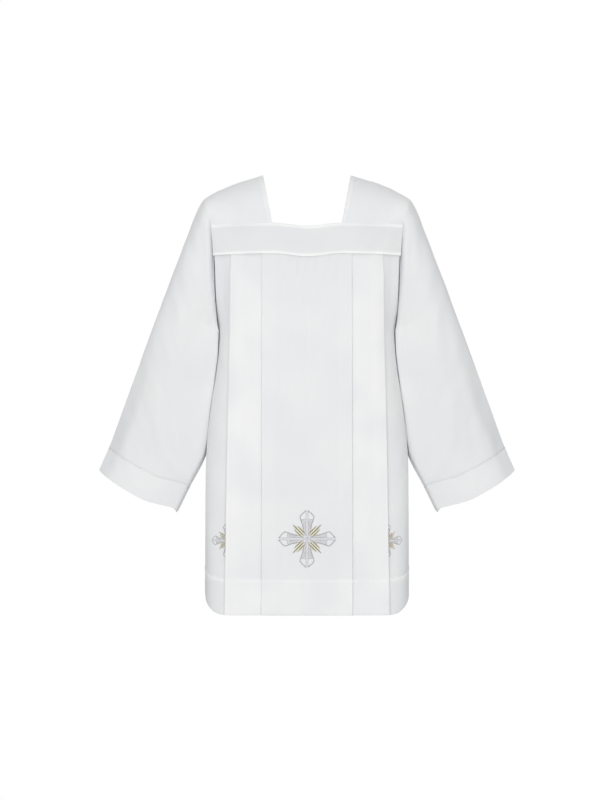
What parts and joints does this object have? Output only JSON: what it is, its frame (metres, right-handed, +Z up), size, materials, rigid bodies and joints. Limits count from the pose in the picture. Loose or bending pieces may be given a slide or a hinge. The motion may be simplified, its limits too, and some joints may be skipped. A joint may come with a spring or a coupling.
{
  "type": "surplice",
  "caption": "White thigh-length liturgical surplice with a square neck, straight yoke bands, box pleats, wide sleeves and an embroidered cross near the hem, filled out as worn.",
  "frame": {"origin": "midway between the tops of the two shoulder straps, where the wearer's shoulders carry it", "axes": "+X to the wearer's left, +Y to the back, +Z up; the front faces -Y"},
  "size_m": [0.8494, 0.2718, 0.8855],
  "materials": {
    "body_cloth": "white plain-woven polyester and cotton, matt, slightly translucent",
    "yoke_cloth": "the same white cloth, double, pressed and edge-stitched",
    "embroidery": "satin-stitched silver-grey and dull gold thread"
  },
  "bodies": {
    "root": {"front_yoke": "yoke_cloth", "back_yoke": "yoke_cloth", "front_panel": "body_cloth", "back_panel": "body_cloth", "left_sleeve": "body_cloth", "right_sleeve": "body_cloth", "front_cross": "embroidery", "left_side_cross": "embroidery", "right_side_cross": "embroidery"}
  },
  "joints": []
}
